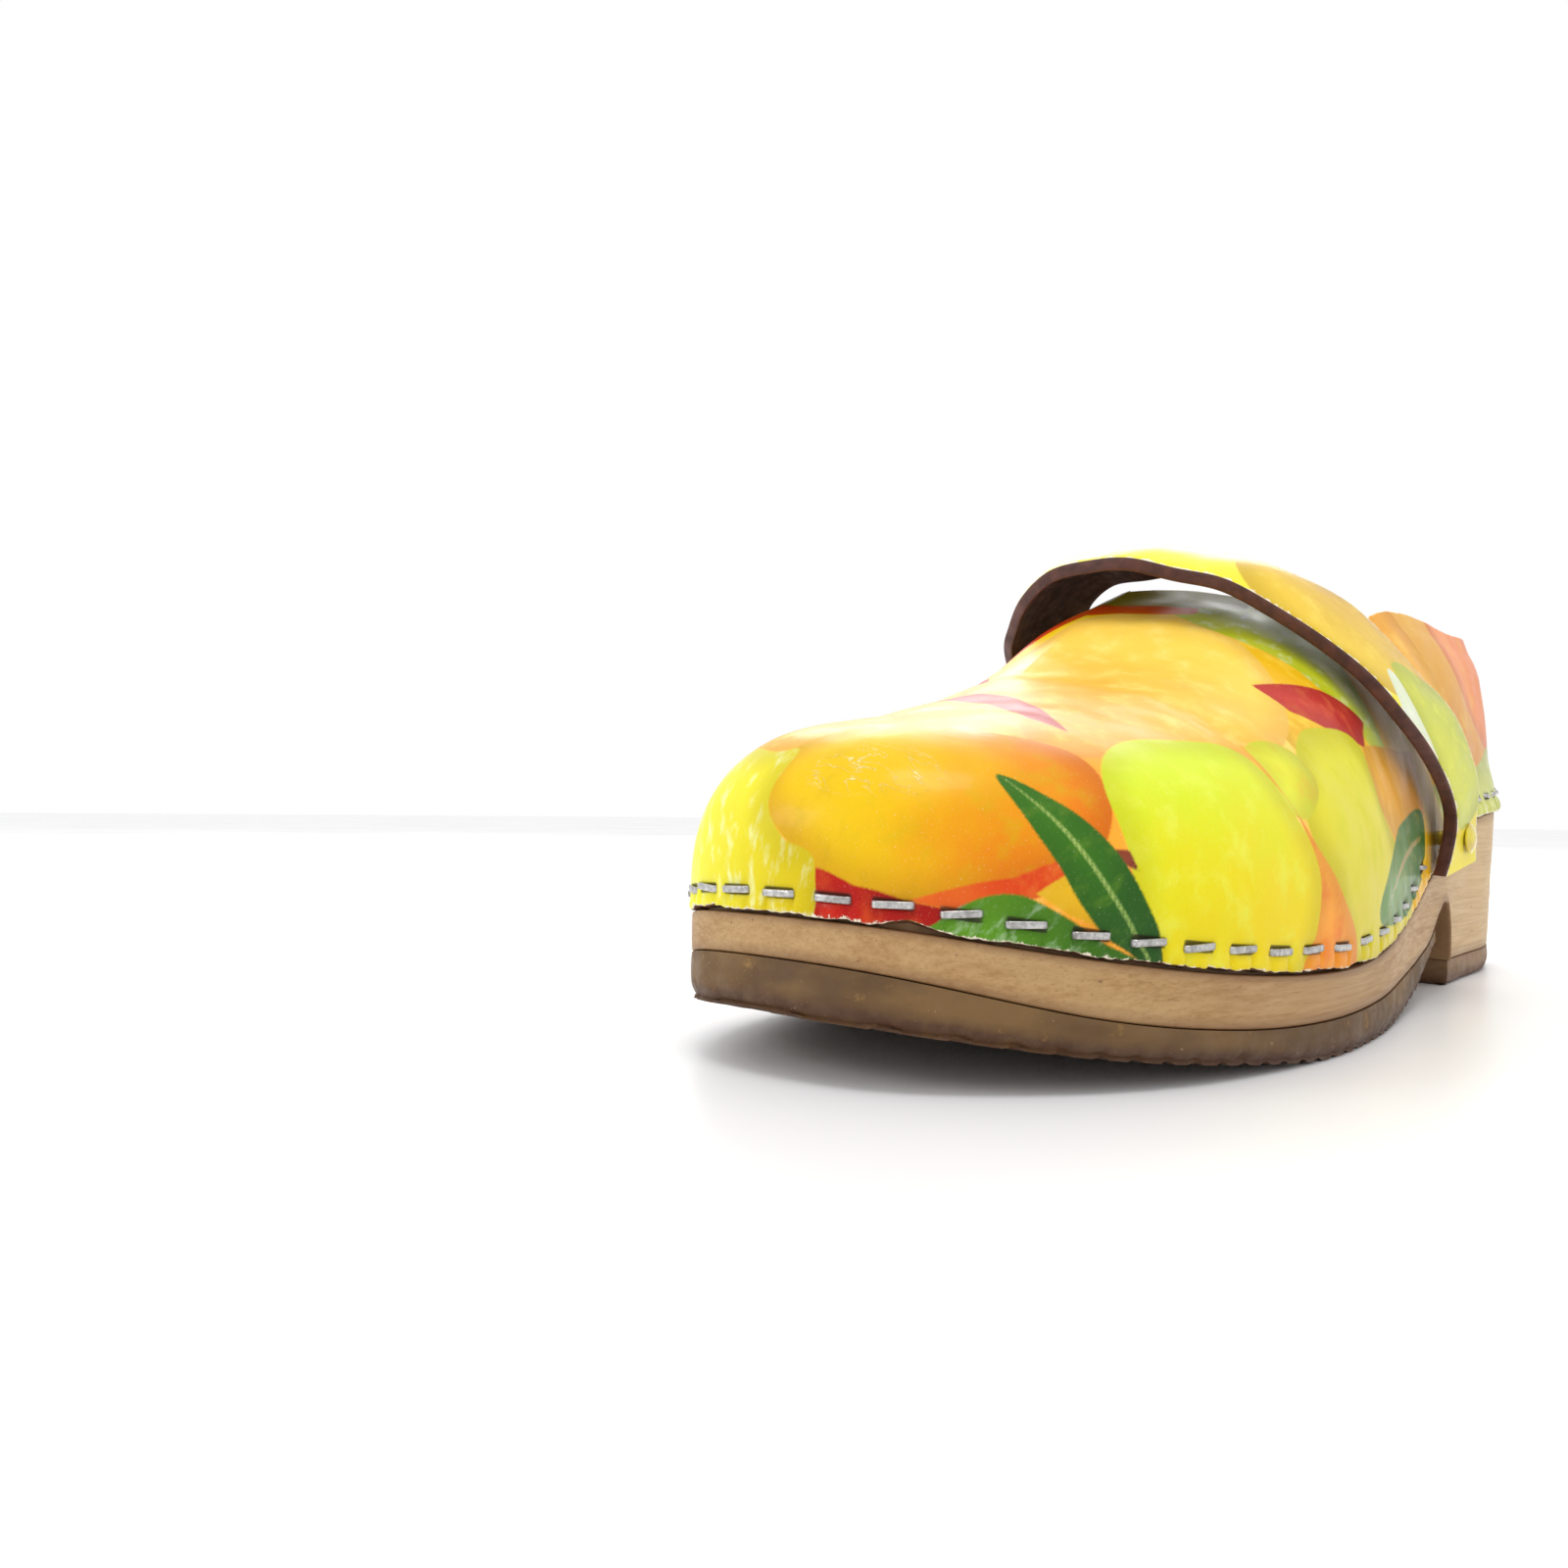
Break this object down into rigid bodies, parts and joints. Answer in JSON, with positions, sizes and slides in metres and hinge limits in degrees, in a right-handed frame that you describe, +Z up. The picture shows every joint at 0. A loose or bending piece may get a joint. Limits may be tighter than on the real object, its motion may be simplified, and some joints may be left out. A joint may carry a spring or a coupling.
{
  "type": "wooden clog",
  "caption": "Left wooden-soled clog with stapled leather vamp and heel counter, rubber tread and a swinging instep strap.",
  "frame": {"origin": "on the floor, at the middle of the shoe's length and width as it stands", "axes": "+Y from toe to heel, +X to the outer (lateral) side of this left shoe, +Z up"},
  "size_m": [0.0974, 0.2605, 0.0959],
  "materials": {
    "wood": "bare, lightly oiled, fine grain",
    "tread_rubber": "matt tan-brown, scuffed edge",
    "printed_leather": "glossy printed film on brown leather",
    "staple_steel": "dull zinc",
    "nail_enamel": "glossy enamel"
  },
  "bodies": {
    "shoe": {"sole_block": "wood", "forefoot_outsole": "tread_rubber", "heel_lift": "tread_rubber", "vamp": "printed_leather", "heel_counter": "printed_leather", "vamp_staples": "staple_steel", "counter_staples": "staple_steel", "lateral_pivot_nail": "nail_enamel", "medial_pivot_nail": "nail_enamel"},
    "strap": {"instep_strap": "printed_leather"}
  },
  "joints": [
    {"name": "strap_swing", "type": "hinge", "parent": "shoe", "child": "strap", "pos_m": [0, 0.041, 0.0345], "axis": [-1, 0, 0], "range_deg": [0, 40]}
  ]
}
